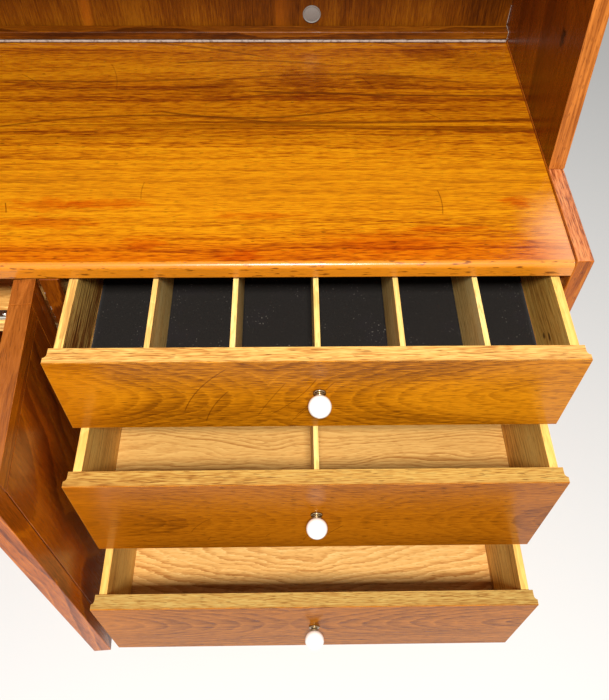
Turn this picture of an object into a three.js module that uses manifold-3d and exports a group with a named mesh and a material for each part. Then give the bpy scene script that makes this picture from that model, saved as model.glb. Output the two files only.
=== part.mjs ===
// Walnut secretary desk: a base cabinet with three drawers and a cupboard, and an open hutch on top.
// Millimetres, +Z up. Inside the desk group, X = 0 is the middle of the width, Y = 0 is the plane of
// the closed fronts with the back at +Y, and Z = 0 is the floor. The drawers and the door stand open.
import * as THREE from 'three';
import { mergeVertices } from 'three/addons/utils/BufferGeometryUtils.js';
import Module from 'manifold-3d';

const wasm = await Module();
wasm.setup();

// Driving dimensions.
const GAP = 0.3;
const WIDTH = 940;
const DEPTH = 472;
const SIDE_T = 20;
const BACK_T = 6;
const DESK_TOP_Z = 740;
const DESK_TOP_T = 22;
const NOSE_R = 7;
const NOSE_UNDER_R = 3;
const SIDE_RISE = 4.3;
const CASE_BOTTOM_Z = 169;
const CASE_BOTTOM_T = 22;
const DIVIDER_X = -152.9;
const DIVIDER_T = 23;

// Drawers, top to bottom: height of each front, how far each is pulled out, and how far each knob
// sits above and to the right of the front's middle.
const FRONT_HEIGHTS = [135.5, 193, 190];
const PULLS = [117, 194, 275.5];
const KNOB_RISES = [7.7, 13.6, 8];
const KNOB_SHIFTS = [2.6, 1, 0.2];
const FRONT_TOP_CLEARANCE = 1.5;
const FRONT_SPACE = 2.5;
const FRONT_SIDE_GAP = 2.3;
const FRONT_T = 20;
const FRONT_LIP = 7.5;
const COVE_WIDTH = 4;
const COVE_DEPTH = 5.5;
const BOX_INSET = 7.9;
const BOX_SIDE_T = 10;
const BOX_BACK_Y = 452;
const BOX_TOP_DROP = 4;
const BOX_FLOOR_RISE = 45;
const BOX_FLOOR_T = 6;
const BOX_SKIRT = 10;
const SLAT_T = 6;
const SLAT_DROP = 1;
const FELT_T = 1.5;
const LINED_COMPARTMENTS = 6;
const PLAIN_COMPARTMENTS = 2;

// Runners: an L section, a ledge under the box side and a guide board beside it.
const RUNNER_LEDGE = 30;
const RUNNER_T = 18;
const RUNNER_CLEARANCE = 0.4;
const GUIDE_T = 9;
const GUIDE_H = 95;
const RUNNER_FRONT_Y = 24;

// Knobs: a ball on a turned stem.
const BALL_R = 13.2;
const BALL_REACH = 19;
const BALL_FLAT = 11.7;
const STEM_FOOT_R = 7.5;
const STEM_NECK_R = 5;
const STEM_RING_R = 6.2;

// Door, its butt hinges and the cupboard.
const DOOR_T = 25;
const DOOR_OPEN_DEG = 93.6;
const DOOR_BOTTOM_Z = 193;
const DOOR_FREE_GAP = 2;
const DOOR_HINGE_GAP = 1.7;
const HINGE_STILE_W = 37.4;
const FREE_STILE_W = 26;
const DOOR_RAIL_W = 23;
const PANEL_GROOVE = 1.5;
const PANEL_T = 19;
const PANEL_TONGUE_Y = 5;
const HINGE_H = 60;
const HINGE_FROM_END = 120;
const HINGE_CLEARANCE = 0.35;
const LEAF_T = 1;
const LEAF_DEPTH = 18;
const LEAF_SUNK = 0.1;
const KNUCKLE_R = 2.2;
const PIN_R = 1.1;
const PIN_INSET = 2.2;
const PIN_Y = 0.2;
const SHELF_Z = 582;
const SHELF_T = 18;
const SHELF_FRONT_Y = 30;

// Hutch: sides whose front edges lean back, standing on the base sides.
const HUTCH_FOOT_Y = 156;
const HUTCH_LEAN = 0.16;
const HUTCH_TOP_Z = 1570;
const HUTCH_TOP_T = 22;
const HUTCH_SHELF_Z = 1070;
const HUTCH_SHELF_T = 18;
const HUTCH_SHELF_SETBACK = 6;
const RAIL_Y = 447.4;
const RAIL_Z = 745.5;
const RAIL_H = 12;
const STRIP_Y = 445.6;
const STRIP_W = 6;
const PLUG_X = 158;
const PLUG_Z = 775;
const PLUG_R = 13.2;
const PLUG_SHANK_R = 10.6;
const PLUG_PROUD = 1.8;

// Leg frames: one under each end, two tapered legs and the rail between them.
const LEG_FRAME_X = 400;
const LEG_FRAME_T = 32;
const LEG_FRAME_INSET = 24;
const LEG_RAIL_H = 42;
const LEG_TOP_W = 46;
const LEG_FOOT_W = 25;
const LEG_SPLAY = 14;
const LEG_CORNER_R = 24;

// Places worked out from the driving dimensions.
const INNER_X = WIDTH / 2 - SIDE_T;
const CASE_TOP_Z = DESK_TOP_Z - DESK_TOP_T;
const CASE_FLOOR_Z = CASE_BOTTOM_Z + CASE_BOTTOM_T;
const SIDE_TOP_Z = DESK_TOP_Z + SIDE_RISE;
const BACK_Y = DEPTH - BACK_T;
const BAY_LEFT = DIVIDER_X + DIVIDER_T / 2;
const BAY_RIGHT = INNER_X;
const BAY_MIDDLE = (BAY_LEFT + BAY_RIGHT) / 2;
const FRONT_HALF = (BAY_RIGHT - BAY_LEFT) / 2 - FRONT_SIDE_GAP;
const BOX_HALF = FRONT_HALF - BOX_INSET;
const DIVIDER_LEFT = DIVIDER_X - DIVIDER_T / 2;
const PIN_X = DIVIDER_LEFT - DOOR_HINGE_GAP - PIN_INSET;
const FRONT_TOP_Z = CASE_TOP_Z - FRONT_TOP_CLEARANCE;
const REACH = Math.max(...PULLS) + BALL_REACH + BALL_R;

// Finishes.
function finish(color, roughness, metalness = 0) {
  return () => new THREE.MeshStandardMaterial({ color, roughness, metalness });
}
const walnut = finish(0x9a5415, 0.35);
const walnutDark = finish(0x6b3710, 0.4);
const oak = finish(0xc98d4a, 0.5);
const oakPale = finish(0xe6c072, 0.5);
const felt = finish(0x1d1b1e, 0.95);
const ceramic = finish(0xf4f2ee, 0.15);
const bronze = finish(0x5b4a35, 0.35, 0.9);
const steel = finish(0x8b8780, 0.35, 0.9);
const greyPlastic = finish(0x8f817a, 0.5);
const greyStrip = finish(0xa89386, 0.8);

// Each helper returns one named mesh in the coordinates of the group that it is added to.
function piece(name, geometry, makeMaterial) {
  const mesh = new THREE.Mesh(geometry, makeMaterial());
  mesh.name = name;
  return mesh;
}

function boxGeometry([x0, x1], [y0, y1], [z0, z1]) {
  const geometry = new THREE.BoxGeometry(x1 - x0, y1 - y0, z1 - z0);
  geometry.translate((x0 + x1) / 2, (y0 + y1) / 2, (z0 + z1) / 2);
  return geometry;
}

function board(name, xs, ys, zs, makeMaterial) {
  return piece(name, boxGeometry(xs, ys, zs), makeMaterial);
}

// A profile drawn in Y and Z, run along X.
function alongX(shape, x0, x1) {
  const geometry = new THREE.ExtrudeGeometry(shape, { depth: x1 - x0, bevelEnabled: false, curveSegments: 8 });
  const toYZ = new THREE.Matrix4().makeBasis(
    new THREE.Vector3(0, 1, 0),
    new THREE.Vector3(0, 0, 1),
    new THREE.Vector3(1, 0, 0),
  );
  geometry.applyMatrix4(toYZ);
  geometry.translate(x0, 0, 0);
  return geometry;
}

// A profile drawn in X and Z, run along Y.
function alongY(shape, y0, y1, curveSegments = 8) {
  const geometry = new THREE.ExtrudeGeometry(shape, { depth: y1 - y0, bevelEnabled: false, curveSegments });
  geometry.rotateX(Math.PI / 2);
  geometry.translate(0, y1, 0);
  return geometry;
}

// A profile drawn in X and Y, run along Z.
function alongZ(shape, z0, z1) {
  const geometry = new THREE.ExtrudeGeometry(shape, { depth: z1 - z0, bevelEnabled: false, curveSegments: 8 });
  geometry.translate(0, 0, z0);
  return geometry;
}

function outline(points) {
  return new THREE.Shape(points.map(([a, b]) => new THREE.Vector2(a, b)));
}

// Booleans on closed geometries.
function solid(geometry) {
  const bare = geometry.index ? geometry.toNonIndexed() : geometry.clone();
  bare.deleteAttribute('normal');
  bare.deleteAttribute('uv');
  const merged = mergeVertices(bare, 1e-4);
  const mesh = new wasm.Mesh({
    numProp: 3,
    vertProperties: new Float32Array(merged.attributes.position.array),
    triVerts: new Uint32Array(merged.index.array),
  });
  return new wasm.Manifold(mesh);
}

function geometryOf(manifold) {
  const mesh = manifold.getMesh();
  const geometry = new THREE.BufferGeometry();
  geometry.setAttribute('position', new THREE.BufferAttribute(new Float32Array(mesh.vertProperties), 3));
  geometry.setIndex(new THREE.BufferAttribute(new Uint32Array(mesh.triVerts), 1));
  geometry.computeVertexNormals();
  return geometry;
}

// Base cabinet: sides, desk top with its rounded front edge, partition, bottom and back.
function baseCabinet() {
  const group = new THREE.Group();
  const sideZ = [CASE_BOTTOM_Z, SIDE_TOP_Z];
  group.add(board('base_side_left', [-WIDTH / 2, -INNER_X], [0, DEPTH], sideZ, walnut));
  group.add(board('base_side_right', [INNER_X, WIDTH / 2], [0, DEPTH], sideZ, walnut));

  const top = new THREE.Shape();
  top.moveTo(DEPTH, CASE_TOP_Z);
  top.lineTo(DEPTH, DESK_TOP_Z);
  top.lineTo(NOSE_R, DESK_TOP_Z);
  top.absarc(NOSE_R, DESK_TOP_Z - NOSE_R, NOSE_R, Math.PI / 2, Math.PI, false);
  top.absarc(NOSE_UNDER_R, CASE_TOP_Z + NOSE_UNDER_R, NOSE_UNDER_R, Math.PI, 3 * Math.PI / 2, false);
  group.add(piece('desk_top', alongX(top, -INNER_X + GAP, INNER_X - GAP), walnut));

  const innerY = [0, BACK_Y - GAP];
  const fullX = [-INNER_X + GAP, INNER_X - GAP];
  group.add(board('base_bottom', fullX, innerY, [CASE_BOTTOM_Z, CASE_FLOOR_Z], walnut));
  const partitionZ = [CASE_FLOOR_Z + GAP, CASE_TOP_Z - GAP];
  group.add(board('base_partition', [DIVIDER_LEFT, BAY_LEFT], innerY, partitionZ, walnut));
  group.add(board('base_back', fullX, [BACK_Y, DEPTH], [CASE_BOTTOM_Z, CASE_TOP_Z - GAP], walnutDark));
  const shelfX = [-INNER_X + GAP, DIVIDER_LEFT - GAP];
  const shelfZ = [SHELF_Z, SHELF_Z + SHELF_T];
  group.add(board('cupboard_shelf', shelfX, [SHELF_FRONT_Y, BACK_Y - GAP], shelfZ, oak));
  return group;
}

// One leg frame: an upside-down U in Y and Z with tapered, splayed legs and rounded inner corners.
function legFrame(name, middleX) {
  const railTop = CASE_BOTTOM_Z - GAP;
  const railBottom = railTop - LEG_RAIL_H;
  const front = LEG_FRAME_INSET;
  const back = DEPTH - LEG_FRAME_INSET;
  const shape = new THREE.Shape();
  shape.moveTo(front, railTop);
  shape.lineTo(front, railBottom);
  shape.lineTo(front + LEG_SPLAY, 0);
  shape.lineTo(front + LEG_SPLAY + LEG_FOOT_W, 0);
  shape.lineTo(front + LEG_TOP_W, railBottom - LEG_CORNER_R);
  shape.quadraticCurveTo(front + LEG_TOP_W, railBottom, front + LEG_TOP_W + LEG_CORNER_R, railBottom);
  shape.lineTo(back - LEG_TOP_W - LEG_CORNER_R, railBottom);
  shape.quadraticCurveTo(back - LEG_TOP_W, railBottom, back - LEG_TOP_W, railBottom - LEG_CORNER_R);
  shape.lineTo(back - LEG_SPLAY - LEG_FOOT_W, 0);
  shape.lineTo(back - LEG_SPLAY, 0);
  shape.lineTo(back, railBottom);
  shape.lineTo(back, railTop);
  return piece(name, alongX(shape, middleX - LEG_FRAME_T / 2, middleX + LEG_FRAME_T / 2), walnut);
}

// Heights of one drawer, from the front's top edge down.
function drawerLevels(index) {
  const above = FRONT_HEIGHTS.slice(0, index).reduce((sum, height) => sum + height + FRONT_SPACE, 0);
  const frontTop = FRONT_TOP_Z - above;
  const frontBottom = frontTop - FRONT_HEIGHTS[index];
  const floor = frontBottom + BOX_FLOOR_RISE;
  return {
    frontTop,
    frontBottom,
    boxTop: frontTop - BOX_TOP_DROP,
    floor,
    boxBottom: floor - BOX_FLOOR_T - BOX_SKIRT,
  };
}

// The pair of L-section runners that carry one drawer.
function runners(index) {
  const { boxBottom } = drawerLevels(index);
  const ledgeTop = boxBottom - RUNNER_CLEARANCE;
  const group = new THREE.Group();
  for (const [side, wall, inward] of [['left', BAY_LEFT, 1], ['right', BAY_RIGHT, -1]]) {
    const out = wall + inward * GAP;
    const shape = outline([
      [out, ledgeTop - RUNNER_T],
      [out + inward * RUNNER_LEDGE, ledgeTop - RUNNER_T],
      [out + inward * RUNNER_LEDGE, ledgeTop],
      [out + inward * GUIDE_T, ledgeTop],
      [out + inward * GUIDE_T, ledgeTop + GUIDE_H],
      [out, ledgeTop + GUIDE_H],
    ]);
    const geometry = alongY(shape, RUNNER_FRONT_Y, BACK_Y - GAP);
    group.add(piece(`drawer_${index + 1}_runner_${side}`, geometry, oakPale));
  }
  return group;
}

// A drawer front in plan: a full-width lip at the face, then a cove, then a narrower rear part.
function frontGeometry(bottom, top) {
  const half = FRONT_HALF;
  const narrow = half - COVE_WIDTH;
  const coveEnd = FRONT_LIP + COVE_DEPTH;
  const shape = new THREE.Shape();
  shape.moveTo(-half, 0);
  shape.lineTo(half, 0);
  shape.lineTo(half, FRONT_LIP);
  shape.absellipse(half, coveEnd, COVE_WIDTH, COVE_DEPTH, 3 * Math.PI / 2, Math.PI, true, 0);
  shape.lineTo(narrow, FRONT_T);
  shape.lineTo(-narrow, FRONT_T);
  shape.lineTo(-narrow, coveEnd);
  shape.absellipse(-half, coveEnd, COVE_WIDTH, COVE_DEPTH, 0, 3 * Math.PI / 2, true, 0);
  return alongZ(shape, bottom, top);
}

// A knob on a front: the ball has a small flat where the stem meets it. Both turn about Y.
function knob(name, x, z) {
  const ball = [];
  const flatAngle = Math.acos(BALL_FLAT / BALL_R);
  const steps = 14;
  ball.push(new THREE.Vector2(0, -BALL_REACH - BALL_R));
  for (let step = 1; step <= steps; step += 1) {
    const angle = Math.PI - (Math.PI - flatAngle) * step / steps;
    ball.push(new THREE.Vector2(BALL_R * Math.sin(angle), -BALL_REACH + BALL_R * Math.cos(angle)));
  }
  ball.push(new THREE.Vector2(0, -BALL_REACH + BALL_FLAT));
  const stemEnd = -BALL_REACH + BALL_FLAT + GAP;
  const stem = [
    [0, stemEnd],
    [STEM_RING_R - 0.8, stemEnd],
    [STEM_RING_R, stemEnd + 0.8],
    [STEM_RING_R - 0.4, stemEnd + 1.8],
    [STEM_NECK_R, stemEnd + 2.2],
    [STEM_NECK_R, -2.6],
    [STEM_FOOT_R - 0.8, -2],
    [STEM_FOOT_R, -1],
    [STEM_FOOT_R, -GAP],
    [0, -GAP],
  ].map(([radius, y]) => new THREE.Vector2(radius, y));
  const group = new THREE.Group();
  group.add(piece(name, new THREE.LatheGeometry(ball, 24), ceramic));
  group.add(piece(`${name}_stem`, new THREE.LatheGeometry(stem, 24), bronze));
  group.position.set(x, 0, z);
  return group;
}

// One drawer, built closed around X = 0 and moved out by its pull.
function drawer(index) {
  const label = `drawer_${index + 1}`;
  const { frontTop, frontBottom, boxTop, floor, boxBottom } = drawerLevels(index);
  const group = new THREE.Group();
  const inner = BOX_HALF - BOX_SIDE_T;
  const frontY = FRONT_T + GAP;
  const backY = BOX_BACK_Y - BOX_SIDE_T;
  const innerX = [-inner + GAP, inner - GAP];
  const sideY = [frontY, BOX_BACK_Y];
  group.add(piece(`${label}_front`, frontGeometry(frontBottom, frontTop), walnut));
  group.add(board(`${label}_side_left`, [-BOX_HALF, -inner], sideY, [boxBottom, boxTop], oakPale));
  group.add(board(`${label}_side_right`, [inner, BOX_HALF], sideY, [boxBottom, boxTop], oakPale));
  group.add(board(`${label}_back`, innerX, [backY, BOX_BACK_Y], [boxBottom, boxTop - GAP], oakPale));
  const floorY = [frontY, backY - GAP];
  group.add(board(`${label}_bottom`, innerX, floorY, [floor - BOX_FLOOR_T, floor], oak));

  const middle = (frontTop + frontBottom) / 2;
  group.add(knob(`${label}_knob`, KNOB_SHIFTS[index], middle + KNOB_RISES[index]));

  const lined = index === 0;
  const compartments = [LINED_COMPARTMENTS, PLAIN_COMPARTMENTS, 1][index];
  let slatFoot = floor + GAP;
  if (lined) {
    const lining = [floor + GAP, floor + GAP + FELT_T];
    group.add(board(`${label}_felt`, innerX, floorY, lining, felt));
    slatFoot = lining[1] + GAP;
  }
  const pitch = (2 * inner + SLAT_T) / compartments;
  for (let slat = 1; slat < compartments; slat += 1) {
    const x = -inner - SLAT_T / 2 + slat * pitch;
    const slatX = [x - SLAT_T / 2, x + SLAT_T / 2];
    group.add(board(`${label}_slat_${slat}`, slatX, floorY, [slatFoot, boxTop - SLAT_DROP], oakPale));
  }
  group.position.set(BAY_MIDDLE, -PULLS[index], 0);
  return group;
}

// A round bar about the Z axis.
function upright(radius, z0, z1) {
  const geometry = new THREE.CylinderGeometry(radius, radius, z1 - z0, 20);
  geometry.rotateX(Math.PI / 2);
  geometry.translate(0, 0, (z0 + z1) / 2);
  return solid(geometry);
}

// Bottom ends of the two hinges.
function hingePlaces() {
  return [['upper', FRONT_TOP_Z - HINGE_FROM_END - HINGE_H], ['lower', DOOR_BOTTOM_Z + HINGE_FROM_END]];
}

// One butt hinge, around its pin at X = Y = 0. The fixed leaf holds the pin and the two end
// knuckles, each on a short web; the door leaf turns on the pin with the middle knuckle.
function hinge(name, z) {
  const low = z + HINGE_H / 3;
  const high = z + 2 * HINGE_H / 3;
  const top = z + HINGE_H;
  const fixedX = PIN_INSET + DOOR_HINGE_GAP - GAP;
  const doorX = PIN_INSET - LEAF_SUNK;
  const webY = [-KNUCKLE_R, LEAF_T - KNUCKLE_R];
  const block = (xs, ys, zs) => solid(boxGeometry(xs, ys, zs));
  const slotX = [-2 * KNUCKLE_R, 2 * KNUCKLE_R];
  const slotY = [-2 * KNUCKLE_R, KNUCKLE_R + HINGE_CLEARANCE];

  let fixed = block([fixedX - LEAF_T, fixedX], [-KNUCKLE_R, LEAF_DEPTH], [z, top]);
  for (const ends of [[z, low - HINGE_CLEARANCE], [high + HINGE_CLEARANCE, top]]) {
    fixed = fixed.add(block([0, fixedX], webY, ends)).add(upright(KNUCKLE_R, ...ends));
  }
  fixed = fixed.add(upright(PIN_R, z + 1, top - 1));
  const moving = block([doorX - LEAF_T, doorX], [0, LEAF_DEPTH], [z, top])
    .subtract(block(slotX, slotY, [z - 1, low + HINGE_CLEARANCE]))
    .subtract(block(slotX, slotY, [high - HINGE_CLEARANCE, top + 1]))
    .add(upright(KNUCKLE_R, low + HINGE_CLEARANCE, high - HINGE_CLEARANCE))
    .subtract(upright(PIN_R + HINGE_CLEARANCE, z - 1, top + 1));
  return {
    fixedLeaf: piece(`${name}_fixed_leaf`, geometryOf(fixed), steel),
    doorLeaf: piece(`${name}_door_leaf`, geometryOf(moving), steel),
  };
}

// The hinge stile, with each hinge's leaf let into its end and a notch round each barrel.
function hingeStile(xs, ys, zs) {
  let stile = solid(boxGeometry(xs, ys, zs));
  const recessX = [PIN_INSET - LEAF_SUNK - LEAF_T - GAP, PIN_INSET + 1];
  for (const [, z] of hingePlaces()) {
    const recessZ = [z - GAP, z + HINGE_H + GAP];
    stile = stile
      .subtract(solid(boxGeometry(recessX, [-KNUCKLE_R, LEAF_DEPTH + GAP], recessZ)))
      .subtract(upright(KNUCKLE_R + HINGE_CLEARANCE, ...recessZ));
  }
  return piece('door_stile_hinge_side', geometryOf(stile), walnut);
}

// The framed door, built closed around its hinge pin.
function door() {
  const group = new THREE.Group();
  const right = PIN_INSET;
  const left = -INNER_X + DOOR_FREE_GAP - PIN_X;
  const y0 = -PIN_Y;
  const ys = [y0, y0 + DOOR_T];
  const bottom = DOOR_BOTTOM_Z;
  const top = FRONT_TOP_Z;
  const panelLeft = left + FREE_STILE_W;
  const panelRight = right - HINGE_STILE_W;
  group.add(hingeStile([panelRight, right], ys, [bottom, top]));
  group.add(board('door_stile_free_side', [left, panelLeft], ys, [bottom, top], walnut));
  const railX = [panelLeft + GAP, panelRight - GAP];
  const panelBottom = bottom + DOOR_RAIL_W;
  const panelTop = top - DOOR_RAIL_W;
  group.add(board('door_rail_bottom', railX, ys, [bottom, panelBottom], walnut));
  group.add(board('door_rail_top', railX, ys, [panelTop, top], walnut));

  const grow = ([low, high], by) => [low - by, high + by];
  const openX = [panelLeft, panelRight];
  const openZ = [panelBottom, panelTop];
  const face = boxGeometry(grow(openX, -PANEL_GROOVE), [y0, y0 + PANEL_TONGUE_Y + 1], grow(openZ, -PANEL_GROOVE));
  const tongueY = [y0 + PANEL_TONGUE_Y, y0 + PANEL_T];
  const tongue = boxGeometry(grow(openX, -GAP), tongueY, grow(openZ, -GAP));
  group.add(piece('door_panel', geometryOf(solid(face).add(solid(tongue))), walnut));
  return group;
}

// The door and both hinges: the fixed leaves stay on the partition, the rest swings open.
function hungDoor() {
  const group = new THREE.Group();
  const swing = door();
  for (const [level, z] of hingePlaces()) {
    const { fixedLeaf, doorLeaf } = hinge(`hinge_${level}`, z);
    group.add(fixedLeaf);
    swing.add(doorLeaf);
  }
  swing.rotation.z = THREE.MathUtils.degToRad(DOOR_OPEN_DEG);
  group.add(swing);
  group.position.set(PIN_X, PIN_Y, 0);
  return group;
}

// Front edge of the hutch sides at a height.
function leanY(z) {
  return HUTCH_FOOT_Y + HUTCH_LEAN * (z - SIDE_TOP_Z);
}

// A grey bead along the back of the desk top: flat underneath, rounded above.
function beadGeometry() {
  const low = DESK_TOP_Z + GAP;
  const high = RAIL_Z - GAP;
  const radius = STRIP_W / 2;
  const shape = new THREE.Shape();
  shape.moveTo(STRIP_Y, low);
  shape.lineTo(STRIP_Y + STRIP_W, low);
  shape.absellipse(STRIP_Y + radius, low, radius, high - low, 0, Math.PI, false, 0);
  return alongX(shape, -INNER_X + GAP, INNER_X - GAP);
}

// The plug: a low disc in front of the panel and a shank in its hole.
function plugGeometry() {
  const face = BACK_Y - GAP;
  const profile = [
    [0, face - PLUG_PROUD],
    [PLUG_R - 2, face - PLUG_PROUD],
    [PLUG_R - 0.6, face - PLUG_PROUD + 0.4],
    [PLUG_R, face - PLUG_PROUD + 1],
    [PLUG_R, face],
    [PLUG_SHANK_R, face],
    [PLUG_SHANK_R, DEPTH - 1],
    [0, DEPTH - 1],
  ].map(([radius, y]) => new THREE.Vector2(radius, y));
  const geometry = new THREE.LatheGeometry(profile, 32);
  geometry.translate(PLUG_X, 0, PLUG_Z);
  return geometry;
}

function hutch() {
  const group = new THREE.Group();
  const foot = SIDE_TOP_Z + GAP;
  const sideShape = outline([
    [leanY(foot), foot],
    [DEPTH, foot],
    [DEPTH, HUTCH_TOP_Z],
    [leanY(HUTCH_TOP_Z), HUTCH_TOP_Z],
  ]);
  group.add(piece('hutch_side_left', alongX(sideShape, -WIDTH / 2, -INNER_X), walnut));
  group.add(piece('hutch_side_right', alongX(sideShape, INNER_X, WIDTH / 2), walnut));
  const innerX = [-INNER_X + GAP, INNER_X - GAP];

  const panel = new THREE.Shape();
  panel.moveTo(innerX[0], DESK_TOP_Z + GAP);
  panel.lineTo(innerX[1], DESK_TOP_Z + GAP);
  panel.lineTo(innerX[1], HUTCH_TOP_Z - HUTCH_TOP_T - GAP);
  panel.lineTo(innerX[0], HUTCH_TOP_Z - HUTCH_TOP_T - GAP);
  const hole = new THREE.Path();
  hole.absarc(PLUG_X, PLUG_Z, PLUG_SHANK_R + GAP, 0, 2 * Math.PI, true);
  panel.holes.push(hole);
  group.add(piece('hutch_back', alongY(panel, BACK_Y, DEPTH, 16), walnutDark));
  group.add(piece('hutch_cord_hole_plug', plugGeometry(), greyPlastic));

  const railZ = [RAIL_Z, RAIL_Z + RAIL_H];
  group.add(board('hutch_bottom_rail', innerX, [RAIL_Y, BACK_Y - GAP], railZ, walnut));
  group.add(piece('hutch_bottom_strip', beadGeometry(), greyStrip));

  const shelfTop = HUTCH_SHELF_Z + HUTCH_SHELF_T;
  const shelfY = [leanY(shelfTop) + HUTCH_SHELF_SETBACK, BACK_Y - GAP];
  group.add(board('hutch_shelf', innerX, shelfY, [HUTCH_SHELF_Z, shelfTop], walnut));
  const topY = [leanY(HUTCH_TOP_Z), DEPTH];
  group.add(board('hutch_top', innerX, topY, [HUTCH_TOP_Z - HUTCH_TOP_T, HUTCH_TOP_Z], walnut));
  return group;
}

// The desk, with its open drawers and door, centred over the origin.
const desk = new THREE.Group();
desk.add(baseCabinet());
desk.add(legFrame('leg_frame_left', -LEG_FRAME_X));
desk.add(legFrame('leg_frame_right', LEG_FRAME_X));
for (let index = 0; index < FRONT_HEIGHTS.length; index += 1) {
  desk.add(runners(index));
  desk.add(drawer(index));
}
desk.add(hungDoor());
desk.add(hutch());
desk.position.y = (REACH - DEPTH) / 2;

const root = new THREE.Group();
root.add(desk);
export default root;
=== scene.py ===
import math
import random

import bmesh
import bpy
from mathutils import Matrix, Vector, noise as waves


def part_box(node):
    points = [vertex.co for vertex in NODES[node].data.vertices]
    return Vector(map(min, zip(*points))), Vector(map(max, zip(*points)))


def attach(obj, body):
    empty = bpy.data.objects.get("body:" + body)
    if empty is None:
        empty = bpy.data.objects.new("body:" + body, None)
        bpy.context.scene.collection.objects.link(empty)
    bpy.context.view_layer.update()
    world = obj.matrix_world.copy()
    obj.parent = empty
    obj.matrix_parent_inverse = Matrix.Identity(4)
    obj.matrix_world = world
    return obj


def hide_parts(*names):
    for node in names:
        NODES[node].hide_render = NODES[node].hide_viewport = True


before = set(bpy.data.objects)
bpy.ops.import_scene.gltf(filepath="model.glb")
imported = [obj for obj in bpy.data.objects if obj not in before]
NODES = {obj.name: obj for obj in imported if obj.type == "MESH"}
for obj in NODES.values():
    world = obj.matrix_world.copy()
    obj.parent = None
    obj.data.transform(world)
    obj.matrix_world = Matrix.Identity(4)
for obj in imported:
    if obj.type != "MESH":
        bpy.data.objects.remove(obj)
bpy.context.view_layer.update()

DRAWERS = (1, 2, 3)
MM = 0.001
# How far the door stands open, and how far the hutch sides lean. Their grain is turned with them.
DOOR_OPEN = math.radians(93.6)
HUTCH_LEAN = math.atan(0.16)
RANDOM_SEED = 7


# ---------------------------------------------------------------- node helpers

class Nodes:
    """A small builder for the node tree of a material or a group."""

    def __init__(self, tree):
        self.tree = tree

    def put(self, socket, value):
        if isinstance(value, bpy.types.NodeSocket):
            self.tree.links.new(value, socket)
        else:
            socket.default_value = value

    def add(self, kind, inputs=None, **settings):
        node = self.tree.nodes.new(kind)
        for name, value in settings.items():
            setattr(node, name, value)
        for name, value in (inputs or {}).items():
            self.put(node.inputs[name], value)
        return node

    def math(self, operation, a, b=0.0, c=0.0):
        node = self.add("ShaderNodeMath", operation=operation)
        for socket, value in zip(node.inputs, (a, b, c)):
            self.put(socket, value)
        return node.outputs[0]

    def vector(self, operation, a, b=(0, 0, 0)):
        node = self.add("ShaderNodeVectorMath", operation=operation)
        self.put(node.inputs[0], a)
        self.put(node.inputs[1], b)
        scalar = operation in ("DOT_PRODUCT", "LENGTH")
        return node.outputs["Value" if scalar else "Vector"]

    def ramp(self, value, low, high, out_low=0.0, out_high=1.0):
        inputs = {"Value": value, "From Min": low, "From Max": high, "To Min": out_low, "To Max": out_high}
        return self.add("ShaderNodeMapRange", inputs, interpolation_type="SMOOTHSTEP").outputs[0]

    def mix(self, factor, a, b, blend="MIX"):
        node = self.add("ShaderNodeMix", data_type="RGBA", blend_type=blend)
        for index, value in ((0, factor), (6, a), (7, b)):
            self.put(node.inputs[index], value)
        return node.outputs[2]

    def noise(self, vector, detail=2.0, rough=0.5):
        """Noise centred on 0, at the scale of the vector it is given."""
        node = self.add("ShaderNodeTexNoise", {"Scale": 1.0, "Detail": detail, "Roughness": rough})
        self.put(node.inputs["Vector"], vector)
        return self.math("SUBTRACT", node.outputs[0], 0.5)

    def scaled(self, vector, along, across):
        return self.vector("MULTIPLY", vector, (along, across, across))

    def split(self, vector):
        return self.add("ShaderNodeSeparateXYZ", {"Vector": vector}).outputs

    def join(self, x, y, z=0.0):
        return self.add("ShaderNodeCombineXYZ", {"X": x, "Y": y, "Z": z}).outputs[0]

    def total(self, first, *terms):
        """first plus each (value, amount) product."""
        for value, amount in terms:
            first = self.math("MULTIPLY_ADD", value, amount, first)
        return first

    def facing(self, axis):
        """How far the surface faces along an axis of the world, from -1 to 1."""
        return self.split(self.add("ShaderNodeNewGeometry").outputs["Normal"])[axis]


def srgb(r, g, b):
    """A colour from 0 to 255 screen values."""
    def linear(value):
        value /= 255
        return value / 12.92 if value <= 0.04045 else ((value + 0.055) / 1.055) ** 2.4
    return (linear(r), linear(g), linear(b), 1.0)


def new_material(name):
    material = bpy.data.materials.new(name)
    material.use_nodes = True
    tree = material.node_tree
    tree.nodes.clear()
    n = Nodes(tree)
    shader = n.add("ShaderNodeBsdfPrincipled")
    output = n.add("ShaderNodeOutputMaterial")
    tree.links.new(shader.outputs[0], output.inputs["Surface"])
    return material, n, shader


def object_coords(n, turn=(0.0, 0.0, 0.0)):
    coords = n.add("ShaderNodeTexCoord").outputs["Object"]
    if not any(turn):
        return coords
    return n.add("ShaderNodeMapping", {"Vector": coords, "Rotation": turn}).outputs[0]


def edge_mask(n, radius):
    """1 on the sharp edges of a piece, 0 on its flat faces."""
    soft = n.add("ShaderNodeBevel", {"Radius": radius}, samples=4).outputs[0]
    flat = n.add("ShaderNodeNewGeometry").outputs["Normal"]
    return n.ramp(n.vector("DOT_PRODUCT", soft, flat), 0.99, 0.8)


def bump(n, shader, height, strength, distance=0.0004):
    node = n.add("ShaderNodeBump", {"Strength": strength, "Distance": distance, "Height": height})
    n.put(shader.inputs["Normal"], node.outputs[0])


# ---------------------------------------------------------------- wood

# Which of the object's axes runs along the grain, across it, and into the board.
ORDERS = {"X": (0, 1, 2), "Y": (1, 2, 0), "Z": (2, 0, 1), "XZ": (0, 2, 1), "ZY": (2, 1, 0)}

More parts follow.
